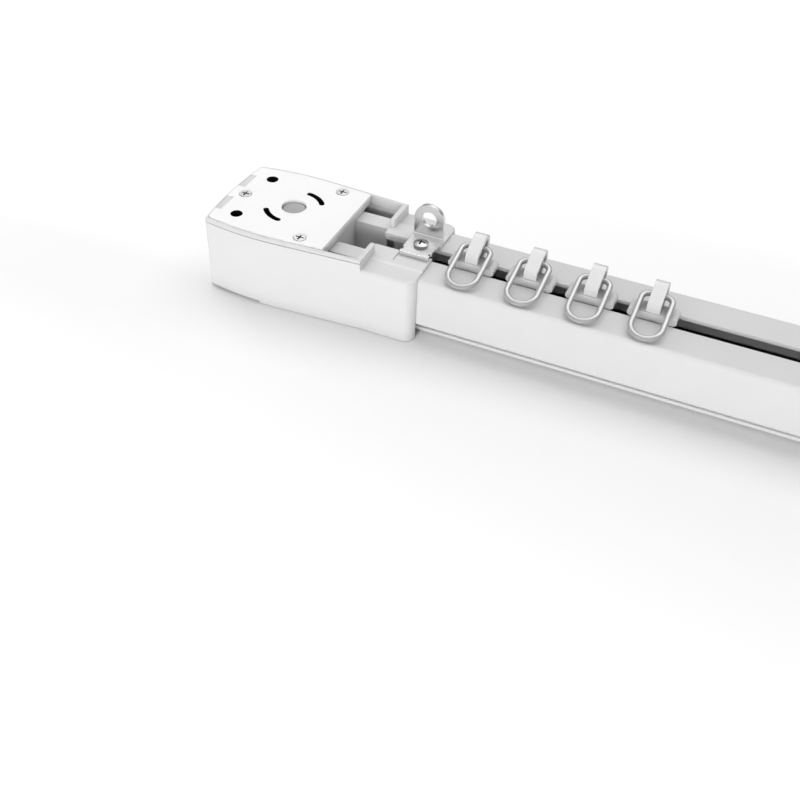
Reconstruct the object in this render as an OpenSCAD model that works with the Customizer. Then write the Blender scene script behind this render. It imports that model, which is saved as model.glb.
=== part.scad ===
// Electric curtain track, made to length. It lies on its ceiling side, slot up, as it does on a bench.
// X runs along the rail from the drive end to the return end, Y is across it, Z is up.
// The origin is at mid length, on the rail's centre plane, on the face that the end units lie on.

/* [Rail] */
// Overall length over both end units
track_l = 900; // [720:10:3000]
// Width of the rail's body
rail_w = 36; // [35:0.5:37]
// Height of the rail from its ceiling flange to its slot face
rail_h = 25.4; // [25:0.1:26]
// Wall of the extrusion
rail_wall = 1.4; // [1.2:0.1:1.5]
// Thickness of the lips beside the slot
lip_t = 1.5; // [1.3:0.1:1.6]
// Width of the slot that the runners hang through
slot_w = 8; // [7.8:0.1:8.4]
// Width of the flange that lies on the ceiling
flange_w = 28; // [26:0.5:30]
// Width of the neck between the flange and the body
neck_w = 20; // [19:0.5:21]
// Height of the groove that the ceiling clips grip
groove_h = 3.6; // [3:0.1:3.8]
// Rounding of the rail's long outer edges
rail_edge_r = 1.2; // [0.6:0.1:1.6]

/* [End unit] */
// Length of an end unit, collar included
unit_l = 90; // [88:1:96]
// Greatest width of an end unit
unit_w = 49.6; // [48.5:0.1:52]
// Height of an end unit
unit_h = 31.5; // [31:0.1:32]
// Wall of the moulded shell
shell_wall = 2; // [1.8:0.1:2.2]
// Length of the wide part, before the collar
barrel_l = 68.6; // [68:0.1:70]
// Distance from the outer end to the widest place
crest_x = 26; // [22:1:28]
// Radius of the bowed side
side_r = 125; // [110:5:140]
// How far the outer end bows out
end_bow = 1.3; // [1:0.1:1.6]
// Radius of the upright outer corners
corner_r = 2.5; // [2:0.1:3]
// Drop of the shell's rim below the motor plate
rim_drop = 0.4; // [0.3:0.1:0.6]
// Width of the raised pad on the collar
pad_w = 26.4; // [24:0.2:28]
// Height of the raised pad above the rail's slot face
pad_rise = 1.5; // [1.3:0.1:1.6]
// Height of the collar's side strips above the rail's slot face
strip_rise = 0.8; // [0.7:0.1:1]

/* [Motor plate] */
// Thickness of the motor plate
plate_t = 1.5; // [1.2:0.1:1.6]
// Distance from the outer end to the plate's inner edge
plate_end = 52.5; // [51:0.5:53]
// Distance from the outer end to the drive axis
axis_x = 29.1; // [28:0.1:30]
// Diameter of the hole over the drive socket
eye_d = 9.9; // [9:0.1:10.4]
// Diameter of the two motor locating holes
locator_d = 4.8; // [4:0.1:5]
// Distance between the two locating holes
locator_gap = 28.6; // [28:0.2:30]
// Distance from the outer end to the locating holes
locator_x = 11.5; // [10:0.1:12]
// Mean radius of the two bayonet slots
bayonet_r = 11; // [10.5:0.1:11.5]
// Width of the bayonet slots
bayonet_w = 2.2; // [1.6:0.1:2.4]
// Shank diameter of the plate screws
screw_d = 2.6; // [2.4:0.1:2.8]

/* [Belt drive] */
// Number of grooves on each pulley
pulley_teeth = 21; // [20:1:22]
// Pitch of the toothed belt
belt_pitch = 3; // [2.95:0.01:3.05]
// Width of the belt
belt_w = 7; // [6.6:0.1:7.2]
// Thickness of the belt's back
belt_t = 1.2; // [1:0.1:1.3]
// Bore of the drive socket
socket_d = 6.4; // [6:0.1:6.6]
// Running clearance of a journal in its bush
running_fit = 0.05; // [0.03:0.01:0.08]

/* [Runners] */
// Number of runners stored beside the end hook
stack_n = 4; // [4:1:4]
// Spacing of the stored runners
runner_pitch = 23; // [22:0.5:26]
// Length of a runner along the rail
runner_l = 18; // [17:0.2:19]
// Width of the strap that holds the ring
strap_w = 5; // [4.6:0.1:5.2]
// Thickness of the strap
strap_t = 1.8; // [1.5:0.1:1.8]
// Radius of the runner wheels
wheel_r = 3.3; // [3.1:0.1:3.4]
// Width of a runner wheel
wheel_w = 2.6; // [2.2:0.1:2.8]
// Diameter of the wheel axles
axle_d = 1.6; // [1.5:0.1:1.8]
// Diameter of the ring's wire
wire_d = 2.2; // [2:0.1:2.3]
// Outer width of the ring
ring_w = 13.5; // [13.2:0.1:13.6]
// Outer length of the ring
ring_l = 23.1; // [22:0.1:23.4]

/* [Master carrier] */
// Length of the carrier's hanging plate
carrier_l = 72.4; // [72:0.2:78]
// Thickness of the hanging plate
carrier_t = 3.6; // [3:0.1:3.8]
// How far the hanging plate reaches past the slot face
carrier_drop = 20.4; // [20:0.1:21]
// Thickness of the overlap arm's steel strip
arm_t = 1.5; // [1.2:0.1:1.6]
// Width of the steel strip
arm_h = 15; // [14:0.5:16]
// Length of the arm's free plate
arm_l = 66; // [60:1:70]
// Sideways offset of the arm's free plate
arm_jog = 6.6; // [5:0.1:8]
// Drop of the arm's free plate past its fixed plate
arm_drop = 5.8; // [5:0.1:7]
// Diameter of the arm's fixing holes
arm_hole_d = 4.8; // [4.4:0.1:5.2]

/* [End hook] */
// Width of the end hook
hook_w = 12; // [11:0.5:12]
// Thickness of the hook's steel
hook_t = 1.7; // [1.5:0.1:1.8]
// Height of the hook's upright tab above the pad
hook_h = 14.8; // [14:0.2:16]
// Diameter of the hole in the tab
hook_hole_d = 6.2; // [5:0.1:6.4]

/* [Hidden] */
$fn = 48;
// A hair that cutting bodies reach past the faces they cut
eps = 0.02;
// Gap that pieces on different bodies keep
gap = 0.3;
// Gap between fitted pieces of one body
fit = 0.1;

// Heights of the rail, from the face that the track lies on
rail_z = 1;
rail_top = rail_z + rail_h;
shoulder_z = rail_z + rail_wall + groove_h;
lip_z = rail_top - lip_t;
rail_in = rail_w / 2 - rail_wall;
web_in = 7.9;
web_t = 1;
web_top = 19;
// The rail stands this far into each end unit, measured from its outer end
rail_start = barrel_l + gap;

// Heights and walls of an end unit
lid_t = 1.6;
tongue_t = 0.8;
rebate_w = 0.9;
deck_top = unit_h - plate_t;
deck_t = 2;
deck_under = deck_top - deck_t;
rim_top = unit_h - rim_drop;
rim_w = 1.7;
seam_h = 0.3;
end_rim = 1.1;
rim_chamfer = 0.5;
plate_gap = 0.2;
side_taper = 3.6;
tail_r = 4.2;
strip_edge_r = 1;
pad_z = rail_top + pad_rise;
strip_z = rail_top + strip_rise;
pad_step_x = barrel_l + 8.3;
end_wall_t = 2;
end_wall_x = barrel_l - end_wall_t;
channel_w = slot_w + 0.6;
rib_in = 8.7;
tunnel_in = 8.2;
tunnel_out = 15.4;
tunnel_z = 27;
tunnel_t = 2;
cross_wall_x = plate_end - 2;
cross_wall_t = 1.5;
well_r = 16;
well_depth = 6.5;
well_wall = 1.4;
post_d = 9.2;
post_sink = 0.5;
pocket_x0 = axis_x + 9;
pocket_x1 = end_wall_x - gap - well_wall;
pocket_w = 23;
pocket_ramp = 6;
bead_w = 1.6;
clip_l = 5;
clip_xs = [10, barrel_l - 10.7];
gusset_xs = [14.6, 34.6];
gusset_w = 2.6;
// Places along the lid's edge where a slit stays open beside the shell
slit_w = 0.8;
lid_slit_xs = [[3.5, 12.6], [barrel_l - 12.7, barrel_l - 4.2], [barrel_l - 1.7, unit_l - 4]];
end_slit_y = [3.6, 9.4];
// Groove along the foot of the shell, for prising the lid off
prise_x = [2, 25.4];
prise_h = 0.9;
// Place and size of the moulded tongues in the plate's outer edge
tongue_x = 3.2;
tongue_y = 4.2;
tongue_y_l = 9.8;
screw_head_d = 5;
screw_sink = 1.2;
screw_end_x = 7.2;
screw_side_x = plate_end - 11.2;
screw_side_y = unit_w / 2 - 6.6;

// Belt and pulleys
pitch_r = pulley_teeth * belt_pitch / (2 * PI);
tip_r = pitch_r - 0.38;
groove_r = 0.85;
belt_in = tip_r + gap;
belt_out = belt_in + belt_t;
tooth_h = 0.7;
well_floor = well_depth + well_wall;
flange_r = belt_out + 0.6;
flange_h = 0.8;
pulley_z = well_floor + gap;
belt_z = pulley_z + flange_h + 0.2;
rim_h = belt_w + 0.4;
hub_r = 5.4;
hub_top = deck_top - 0.4;
bush_r = hub_r + running_fit;
bush_out = 7;
bush_h = 5.6;
lower_r = 2;
lower_bush_r = lower_r + running_fit;
lower_bush_out = 3.2;
lower_z = 2.6;
key_w = 1.2;
key_reach = 0.9;
socket_l = 12;
plug_r = eye_d / 2 - gap;
plug_h = 0.9;
plug_l = 6;

// Runners
stack_x = unit_l + 15.1;
parked_from_end = 309;
stem_w = slot_w - 1.4;
saddle_z = rail_top + 3;
axle_z = lip_z - gap - wheel_r;
wheel_in = stem_w / 2 + gap + 0.8;
keel_z = axle_z - 3.4;
keel_l = 12;
near_bend = [-0.5, rail_top + 4.9];
near_r = 2.5;
nose = [6.2, rail_top + 7.2];
nose_r = 3.4;
nose_end = -60;
ring_seat = [4, rail_top + 6.2];
ring_c = (ring_w - wire_d) / 2;
ring_reach = ring_l - wire_d;
ring_shoulder = 2.8;
ring_lean = asin((ring_seat.y - rail_top - gap - 0.1 - wire_d / 2) / ring_reach);

// Master carrier, measured from the outer end of the return unit
carrier_far = 268.4;
carrier_near = carrier_far - carrier_l;
carrier_foot = rail_top + carrier_drop;
chassis_z = axle_z - 2.2;
hole_z = rail_top + 0.667 * carrier_drop;
// Long holes and the small hole, measured from the carrier's far edge
hook_hole_insets = [10.4, 19.6, 28.2];
hook_hole_xs = [for (inset = hook_hole_insets) carrier_far - inset];
small_hole_inset = 32.8;
small_hole_drop = 3;
small_hole_d = 1.8;
arm_far = carrier_near + 32;
arm_top = carrier_foot - 0.3;
arm_web = carrier_near + 2;
free_far = arm_web - 8;
arm_y = carrier_t / 2;
arm_hole_xs = [free_far - 0.368 * arm_l, free_far - 0.858 * arm_l];
arm_screw_xs = [arm_far - 5, arm_far - 23.5];

// Curves and outlines

function arc(c, r, a0, a1, n) =
    [for (i = [0 : n]) let (a = a0 + (a1 - a0) * i / n) [c.x + r * cos(a), c.y + r * sin(a)]];

function flipped(pts) = [for (i = [len(pts) - 1 : -1 : 0]) [pts[i].x, -pts[i].y]];

// Half width at x of a bowed side that is half wide at its crest: an arc, then a straight taper,
// and along the collar it is parallel
function side_at(x, half) =
    let (
        r = side_r - (unit_w / 2 - half),
        tail_x = crest_x + r * sin(side_taper),
        tail_y = half - r + r * cos(side_taper)
    )
    x < tail_x
        ? half - r + sqrt(r * r - (x - crest_x) ^ 2)
        : tail_y - (min(x, barrel_l) - tail_x) * tan(side_taper);

// Plan outline of an end unit or of what lies inside its rim: half width, outer end, inner end,
// radius of the outer corners, and radius of the inner ones, where nought is a sharp corner
function plan(half, x0, x1, cr, er = 0) =
    let (
        r = side_r - (unit_w / 2 - half),
        crest = [crest_x, half - r],
        cx = x0 + end_bow + cr,
        tilt = asin((crest.x - cx) / (r - cr)),
        cy = crest.y + (r - cr) * cos(tilt),
        bow_r = (cy * cy + end_bow * end_bow) / (2 * end_bow),
        square_on = 90,
        outward = 176,
        side = concat(
            [for (i = [0 : 5]) let (y = cy * i / 6) [x0 + bow_r - sqrt(bow_r * bow_r - y * y), y]],
            arc([cx, cy], cr, outward, square_on + tilt, 5),
            arc(crest, r, square_on + tilt - 1.4, square_on - side_taper, 8),
            x1 > barrel_l ? [[barrel_l, side_at(barrel_l, half)]] : [],
            er > 0 ? arc([x1 - er, side_at(x1, half) - er], er, square_on, 0, 6) : [[x1, side_at(x1, half)]]
        )
    )
    concat(side, [for (i = [len(side) - 1 : -1 : 1]) [side[i].x, -side[i].y]]);

// The same for a whole unit, drawn in by an inset
function unit_plan(inset) =
    plan(unit_w / 2 - inset, inset, unit_l - inset, corner_r - inset, tail_r - inset);

// Strip along the bowed side from x0 to x1: w wide, measured in from a side that is half wide at its crest
function side_strip(x0, x1, half, w) =
    let (xs = [for (i = [0 : 4]) x0 + (x1 - x0) * i / 4])
    concat(
        [for (x = xs) [x, side_at(x, half) - w]],
        [for (i = [4 : -1 : 0]) [xs[i], side_at(xs[i], half) + 1]]
    );

// Angle of the common outer tangent's normal for two circles
function tangent_normal(c1, r1, c2, r2) =
    let (d = c2 - c1, l = norm(d)) atan2(d.y, d.x) + acos((r1 - r2) / l);

// Outline of the strap seen along the rail, drawn in by t, down to a foot at y, z
function strap_outline(t, foot_y, foot_z) =
    let (
        a = tangent_normal(near_bend, near_r - t, nose, nose_r - t),
        n = nose + (nose_r - t) * [cos(nose_end), sin(nose_end)],
        foot_end = n.y - (n.x - foot_y) * tan(90 + nose_end)
    )
    concat(
        [[near_bend.x - near_r + t, foot_z]],
        arc(near_bend, near_r - t, 180, a, 6),
        arc(nose, nose_r - t, a, nose_end, 14),
        [[foot_y, foot_end], [foot_y, foot_z]]
    );

// Profile drawn across the rail, made into a length along X
module along(x0, x1) {
    translate([x0, 0, 0])
        rotate([90, 0, 90])
            linear_extrude(height = x1 - x0)
                children();
}

module bar(x0, x1, half, z0, z1) {
    translate([x0, -half, z0])
        cube([x1 - x0, 2 * half, z1 - z0]);
}

// The same on both sides of the centre plane
module both() {
    children();
    mirror([0, 1, 0])
        children();
}

module at_drive() {
    translate([-track_l / 2, 0, 0])
        children();
}

module at_return() {
    rotate([0, 0, 180])
        translate([-track_l / 2, 0, 0])
            children();
}

// Places what is measured back from the outer end of the return unit
module from_return(x) {
    translate([track_l / 2 - x, 0, 0])
        children();
}

// Rail

module rail_outside() {
    r = rail_edge_r;
    half = rail_w / 2;
    side = concat(
        arc([half - r, shoulder_z + r], r, -90, 0, 5),
        arc([half - r, rail_top - r], r, 0, 90, 5)
    );
    polygon(concat(side, [for (i = [len(side) - 1 : -1 : 0]) [-side[i].x, side[i].y]]));
    translate([-neck_w / 2, rail_z])
        square([neck_w, shoulder_z - rail_z + 1]);
    translate([-flange_w / 2, rail_z])
        square([flange_w, rail_wall]);
}

module rail_inside() {
    translate([-rail_in, shoulder_z + rail_wall])
        square([2 * rail_in, lip_z - shoulder_z - rail_wall]);
    translate([-neck_w / 2 + rail_wall, rail_z + rail_wall])
        square([neck_w - 2 * rail_wall, groove_h + 2 * rail_wall]);
    translate([-slot_w / 2, lip_z - 1])
        square([slot_w, lip_t + 2]);
}

// Two webs under the lips part the runner channel from the belt's chambers
module rail_webs() {
    for (s = [-1, 1])
        translate([s > 0 ? web_in : -web_in - web_t, web_top])
            square([web_t, lip_z - web_top + eps]);
}

module rail() {
    color("white")
        along(rail_start - track_l / 2, track_l / 2 - rail_start) {
            difference() {
                rail_outside();
                rail_inside();
            }
            rail_webs();
        }
}

// End unit. Its own frame starts at its outer end, with the rail towards +X.

module barrel_body() {
    hull() {
        linear_extrude(height = rim_top - rim_chamfer)
            polygon(plan(unit_w / 2, 0, barrel_l, corner_r));
        linear_extrude(height = rim_top)
            polygon(plan(unit_w / 2 - rim_chamfer, rim_chamfer, barrel_l, corner_r - rim_chamfer));
    }
}

module barrel_hollow() {
    translate([0, 0, -1])
        linear_extrude(height = deck_under + 1)
            polygon(plan(unit_w / 2 - shell_wall, shell_wall, end_wall_x, corner_r - 1));
    // Recess for the motor plate, which runs on over the open well
    translate([0, 0, deck_top])
        linear_extrude(height = plate_t + 1)
            polygon(plan(unit_w / 2 - rim_w, end_rim, end_wall_x, corner_r - end_rim));
    translate([0, 0, deck_under - 1])
        intersection() {
            linear_extrude(height = deck_t + 2)
                polygon(plan(unit_w / 2 - rim_w, end_rim, end_wall_x, corner_r - end_rim));
            translate([plate_end, -unit_w, 0])
                cube([barrel_l, 2 * unit_w, deck_t + 2]);
        }
}

// The collar carries the shell's sides on round the rail, with a soft edge, and a pad beside the slot
module collar() {
    r = strip_edge_r;
    difference() {
        union() {
            hull()
                for (a = [0 : 30 : 90])
                    linear_extrude(height = strip_z - r + r * sin(a))
                        intersection() {
                            polygon(unit_plan(r * (1 - cos(a))));
                            translate([barrel_l - fit, -unit_w])
                                square([unit_l, 2 * unit_w]);
                        }
            along(end_wall_x, unit_l)
                polygon([
                    [-pad_w / 2 - pad_z + strip_z, strip_z - 1], [-pad_w / 2 - pad_z + strip_z, strip_z],
                    [-pad_w / 2, pad_z], [pad_w / 2, pad_z],
                    [pad_w / 2 + pad_z - strip_z, strip_z], [pad_w / 2 + pad_z - strip_z, strip_z - 1]
                ]);
        }
        // Pocket that the rail stands in
        bar(barrel_l, unit_l + 1, rail_w / 2 + fit, -1, rail_top + fit);
        // Fine step across the pad
        bar(pad_step_x, pad_step_x + gap, pad_w / 2 - 2, pad_z - gap, pad_z + 1);
    }
}

// Seat of the lid, inside the foot of the shell
module lid_rebate() {
    translate([0, 0, -1])
        linear_extrude(height = lid_t + 1)
            polygon(unit_plan(rebate_w));
}

// Way through the end wall for the belt and the runner channel.
// Above the pad it leaves two ribs with round ends.
module end_wall_gaps() {
    bar(end_wall_x - 1, barrel_l + eps, tunnel_out, -1, tunnel_z - tunnel_t);
    bar(end_wall_x - 1, unit_l + 1, channel_w / 2, web_top, unit_h + 1);
    r = end_wall_t / 2;
    side = concat(
        [[end_wall_x - 1, 0], [end_wall_x - 1, rib_in + r]],
        arc([end_wall_x + r, rib_in + r], r, 180, 360, 8),
        [[barrel_l + eps, rib_in + r], [barrel_l + eps, 0]]
    );
    translate([0, 0, pad_z])
        linear_extrude(height = unit_h)
            polygon(concat(side, flipped(side)));
}

// Covers over the belt on both sides of the runner channel, their skirts, and a wall across the channel
module tunnels() {
    skirt_z = well_floor + 1.4;
    reach = end_wall_x - cross_wall_x + eps;
    both() {
        translate([cross_wall_x, tunnel_in, tunnel_z - tunnel_t])
            cube([reach, tunnel_out - tunnel_in, tunnel_t]);
        translate([cross_wall_x, tunnel_in, tunnel_z - eps])
            cube([cross_wall_t, tunnel_out - tunnel_in, deck_under - tunnel_z + 2 * eps]);
        translate([cross_wall_x, tunnel_in, skirt_z])
            cube([reach, web_t, tunnel_z - skirt_z - 1]);
    }
    bar(cross_wall_x, cross_wall_x + cross_wall_t, tunnel_in + web_t / 2, skirt_z, deck_under + eps);
}

module screw_places() {
    translate([screw_end_x, 0, 0])
        children();
    both()
        translate([screw_side_x, screw_side_y, 0])
            children();
}

// Two curved slots with round ends
module bayonet_slots() {
    first = 36;
    last = 84;
    ease = 20;
    half_turn = 180;
    r = bayonet_w / 2;
    translate([axis_x, 0, 0])
        for (turn = [0, half_turn])
            rotate([0, 0, turn])
                linear_extrude(height = 2 * (plate_t + deck_t))
                    polygon(concat(
                        arc([0, 0], bayonet_r + r, first, last, 12),
                        arc(bayonet_r * [cos(last), sin(last)], r, last + ease, last + half_turn - ease, 7),
                        arc([0, 0], bayonet_r - r, last, first, 10),
                        arc(
                            bayonet_r * [cos(first), sin(first)], r,
                            first - half_turn + ease, first - ease, 7
                        )
                    ));
}

// Two moulded tongues stand in notches in the plate's outer edge
module end_tongues(grow) {
    intersection() {
        both()
            translate([0, tongue_y - grow, 0])
                cube([end_rim + tongue_x + grow, tongue_y_l + 2 * grow, plate_t - 0.5 + (grow > 0 ? 5 : 0)]);
        linear_extrude(height = 9)
            polygon(plan(unit_w / 2 - 1, grow > 0 ? -3 : 0.4, end_wall_x, 1));
    }
}

module unit_housing() {
    difference() {
        union() {
            difference() {
                union() {
                    barrel_body();
                    collar();
                }
                barrel_hollow();
                lid_rebate();
            }
            tunnels();
            translate([0, 0, deck_top - eps])
                end_tongues(0);
            // Boss that carries the upper bush
            translate([axis_x, 0, deck_top - bush_h - 1.2])
                cylinder(h = bush_h + 1.2 - deck_t / 2, r = bush_out + 1.6);
            screw_places()
                translate([0, 0, deck_under - 7])
                    cylinder(h = 7 + deck_t / 2, d = screw_d + 3);
            both()
                side_gussets();
        }
        end_wall_gaps();
        // Bore of the upper bush, with a shoulder under it
        translate([axis_x, 0, deck_top - bush_h])
            cylinder(h = bush_h + 1, r = bush_out);
        translate([axis_x, 0, deck_top - bush_h - 2])
            cylinder(h = 3, r = hub_r + gap);
        screw_places()
            translate([0, 0, deck_under - 6])
                cylinder(h = 12, d = screw_d);
        both()
            translate([locator_x, locator_gap / 2, deck_under - 1])
                cylinder(h = deck_t + 2, d = locator_d);
        translate([0, 0, deck_under - 1])
            bayonet_slots();
        both()
            prise_groove();
        rim_seam();
    }
}

// Ribs that stiffen the side walls under the deck, clear of the belt
module side_gussets() {
    low = lid_t + 6;
    for (x = gusset_xs)
        translate([x, side_at(x, unit_w / 2) - shell_wall - gusset_w, low])
            cube([shell_wall / 2, gusset_w + shell_wall / 2, deck_under - low + eps]);
}

// Fine seam round the shell, level with the motor plate's seat
module rim_seam() {
    translate([0, 0, deck_top - seam_h / 2])
        linear_extrude(height = seam_h)
            difference() {
                translate([-1, -unit_w])
                    square([barrel_l + 2, 2 * unit_w]);
                polygon(plan(unit_w / 2 - seam_h, seam_h, barrel_l + 2, corner_r - seam_h));
            }
}

module prise_groove() {
    translate([0, 0, -1])
        linear_extrude(height = 1 + prise_h)
            polygon(side_strip(prise_x[0], prise_x[1], unit_w / 2, rebate_w + eps));
}

// Hooks that hold the lid, just inside the shell's walls
module lid_clips() {
    for (x = clip_xs)
        both()
            translate([x, side_at(x + clip_l, unit_w / 2) - shell_wall - 1.4, lid_t - eps])
                difference() {
                    cube([clip_l, 1.2, 4.4]);
                    translate([-1, -0.5, 3])
                        cube([clip_l + 2, 0.9, 0.8]);
                }
}

// Notches in the lid's edge, which stay open as slits beside the shell
module lid_slits() {
    for (s = lid_slit_xs)
        both()
            translate([0, 0, -1])
                linear_extrude(height = 4)
                    polygon(side_strip(s[0], s[1], unit_w / 2 - rebate_w - fit, slit_w));
    both()
        translate([0, end_slit_y[0], -1])
            cube([rebate_w + fit + slit_w + 0.3, end_slit_y[1] - end_slit_y[0], 4]);
}

module lid_shell() {
    difference() {
        union() {
            difference() {
                linear_extrude(height = lid_t)
                    polygon(unit_plan(rebate_w + fit));
                bar(barrel_l - gap, unit_l + 1, rail_w / 2 + gap, tongue_t, lid_t + 1);
            }
            // Tongue that runs on under the rail
            bar(unit_l - 2 * tail_r, unit_l, rail_w / 2, 0, tongue_t);
            translate([axis_x, 0, 0])
                cylinder(h = well_floor, r = well_r + well_wall, $fn = 96);
            bar(pocket_x0 - well_wall, pocket_x1 + well_wall, pocket_w / 2 + well_wall, 0, well_floor);
            lid_clips();
            // Low pads that bear on the rail's flange
            both()
                translate([barrel_l + 3, flange_w / 2 - 6, tongue_t - eps])
                    cube([unit_l - barrel_l - 5, 3, fit]);
        }
        translate([axis_x, 0, -1])
            cylinder(h = well_depth + 1, r = well_r, $fn = 96);
        // Pocket with a sloping floor on its rail side
        difference() {
            bar(pocket_x0, pocket_x1, pocket_w / 2, -1, well_depth);
            rotate([90, 0, 0])
                linear_extrude(height = pocket_w + 2, center = true)
                    polygon([
                        [pocket_x1 + eps, 0.4], [pocket_x1 + eps, well_depth + 1],
                        [pocket_x1 - pocket_ramp, well_depth + 1],
                        [pocket_x1 - pocket_ramp, well_depth - 0.4]
                    ]);
        }
        // Narrow grooves beside the pocket
        both()
            translate([0, pocket_w / 2 + 1.5 * bead_w, -1])
                linear_extrude(height = bead_w)
                    hull()
                        for (x = [axis_x + well_r + bead_w, pocket_x1 + bead_w])
                            translate([x, bead_w / 2])
                                circle(d = bead_w, $fn = 24);
        lid_slits();
    }
}

// The lid with a post in its round well, bored from inside for the lower bush
module unit_lid() {
    difference() {
        union() {
            lid_shell();
            translate([axis_x, 0, post_sink])
                cylinder(h = well_floor - post_sink - eps, d = post_d);
        }
        translate([axis_x, 0, lower_z])
            cylinder(h = well_floor, r = lower_bush_out);
    }
}

module unit_motor_plate() {
    difference() {
        intersection() {
            translate([0, 0, deck_top])
                linear_extrude(height = plate_t)
                    polygon(plan(
                        unit_w / 2 - rim_w - plate_gap, end_rim + plate_gap, end_wall_x,
                        corner_r - end_rim - plate_gap
                    ));
            bar(-1, plate_end, unit_w, deck_top - 1, unit_h + 1);
        }
        translate([0, 0, deck_top - 1])
            end_tongues(fit);
        translate([axis_x, 0, deck_top - 1])
            cylinder(h = 5, d = eye_d);
        both()
            translate([locator_x, locator_gap / 2, deck_top - 1])
                cylinder(h = 5, d = locator_d);
        translate([0, 0, deck_top - 0.5])
            bayonet_slots();
        // Countersunk screw holes
        screw_places()
            translate([0, 0, unit_h]) {
                translate([0, 0, -2 * plate_t])
                    cylinder(h = 4 * plate_t, d = screw_d + 0.4);
                translate([0, 0, -screw_sink])
                    cylinder(h = screw_sink + eps, d1 = screw_d + 0.4, d2 = screw_head_d + 0.4);
            }
    }
}

// Cross recess with tapering arms, its open side at z = 0
module cross_recess(head_d, depth) {
    deep = 0.4;
    for (turn = [0, 90])
        rotate([0, 0, turn])
            translate([0, 0, -depth])
                linear_extrude(height = depth + eps, scale = 1 / deep)
                    square(deep * head_d * [0.72, 0.14], center = true);
}

// Pan head screw with a cross recess, its head on top of z = 0
module pan_screw(shank_d, shank_l, head_d, head_h) {
    difference() {
        union() {
            intersection() {
                cylinder(h = head_h, d = head_d);
                translate([0, 0, head_h - head_d])
                    sphere(r = head_d);
            }
            translate([0, 0, -shank_l])
                cylinder(h = shank_l + eps, d = shank_d);
        }
        translate([0, 0, head_h])
            cross_recess(head_d, 0.7 * head_h);
    }
}

// Countersunk screw with a cross recess, its head's edge at z = 0 and a thin land above it
module flush_screw(shank_d, shank_l, head_d, sink, land) {
    difference() {
        rotate_extrude()
            polygon([
                [0, -shank_l], [shank_d / 2, -shank_l], [shank_d / 2, -sink], [head_d / 2, 0],
                [head_d / 2, land / 2], [head_d / 2 - land / 2, land], [0, land]
            ]);
        translate([0, 0, land])
            cross_recess(head_d, sink);
    }
}

module unit_plate_screws() {
    screw_places()
        translate([0, 0, unit_h])
            flush_screw(screw_d - 0.2, plate_t + 6, screw_head_d, screw_sink, 0.2);
}

// Rim with round grooves for the belt's teeth
module toothed_rim() {
    difference() {
        translate([0, 0, pulley_z + flange_h / 2])
            cylinder(h = rim_h + flange_h, r = tip_r, $fn = 72);
        for (i = [0 : pulley_teeth - 1])
            rotate([0, 0, 360 * i / pulley_teeth])
                translate([tip_r, 0, pulley_z])
                    cylinder(h = rim_h + 2 * flange_h, r = groove_r, $fn = 16);
    }
}

module unit_pulley() {
    translate([axis_x, 0, 0])
        difference() {
            union() {
                translate([0, 0, lower_z + 0.5])
                    cylinder(h = pulley_z - lower_z, r = lower_r);
                translate([0, 0, pulley_z])
                    cylinder(h = flange_h, r = flange_r, $fn = 72);
                toothed_rim();
                translate([0, 0, pulley_z + flange_h + rim_h])
                    cylinder(h = flange_h, r = flange_r, $fn = 72);
                translate([0, 0, pulley_z + flange_h / 2])
                    cylinder(h = hub_top - pulley_z - flange_h / 2, r = hub_r);
            }
            // Socket for the motor's shaft, with three keyways
            translate([0, 0, hub_top - socket_l])
                cylinder(h = socket_l + 1, d = socket_d);
            for (turn = [0, 120, 240])
                rotate([0, 0, turn])
                    translate([0, -key_w / 2, hub_top - socket_l])
                        cube([socket_d / 2 + key_reach, key_w, socket_l + 1]);
        }
}

// Plug that keeps dust out of the socket until the motor goes on
module unit_socket_plug() {
    edge = 0.2;
    translate([axis_x, 0, hub_top])
        rotate_extrude()
            polygon([
                [0, -plug_l], [socket_d / 2 - 2 * edge, -plug_l], [socket_d / 2 - fit, -plug_l + 2 * edge],
                [socket_d / 2 - fit, 0], [plug_r, 0], [plug_r, plug_h - edge],
                [plug_r - edge, plug_h], [0, plug_h]
            ]);
}

module unit_upper_bush() {
    translate([axis_x, 0, deck_top - bush_h])
        difference() {
            cylinder(h = bush_h - 0.2, r = bush_out - 0.02);
            translate([0, 0, -1])
                cylinder(h = bush_h + 2, r = bush_r);
        }
}

module unit_lower_bush() {
    translate([axis_x, 0, lower_z])
        difference() {
            cylinder(h = well_floor - lower_z, r = lower_bush_out - 0.02);
            translate([0, 0, -1])
                cylinder(h = well_floor + 2, r = lower_bush_r);
        }
}

module drive_housing() { color("white") at_drive() unit_housing(); }
module drive_lid() { color("whitesmoke") at_drive() unit_lid(); }
module drive_motor_plate() { color("gainsboro") at_drive() unit_motor_plate(); }
module drive_plate_screws() { color("silver") at_drive() unit_plate_screws(); }
module drive_pulley() { color("dimgray") at_drive() unit_pulley(); }
module drive_socket_plug() { color("gray") at_drive() unit_socket_plug(); }
module drive_upper_bush() { color("tan") at_drive() unit_upper_bush(); }
module drive_lower_bush() { color("tan") at_drive() unit_lower_bush(); }
module return_housing() { color("white") at_return() unit_housing(); }
module return_lid() { color("whitesmoke") at_return() unit_lid(); }
module return_motor_plate() { color("gainsboro") at_return() unit_motor_plate(); }
module return_plate_screws() { color("silver") at_return() unit_plate_screws(); }
module return_pulley() { color("dimgray") at_return() unit_pulley(); }
module return_socket_plug() { color("gray") at_return() unit_socket_plug(); }
module return_upper_bush() { color("tan") at_return() unit_upper_bush(); }
module return_lower_bush() { color("tan") at_return() unit_lower_bush(); }

// Belt round both pulleys, toothed side in

module belt_loop(r) {
    reach = track_l / 2 - axis_x;
    for (s = [-1, 1])
        translate([s * reach, 0])
            circle(r = r, $fn = 72);
    translate([-reach, -r])
        square([2 * reach, 2 * r]);
}

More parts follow.
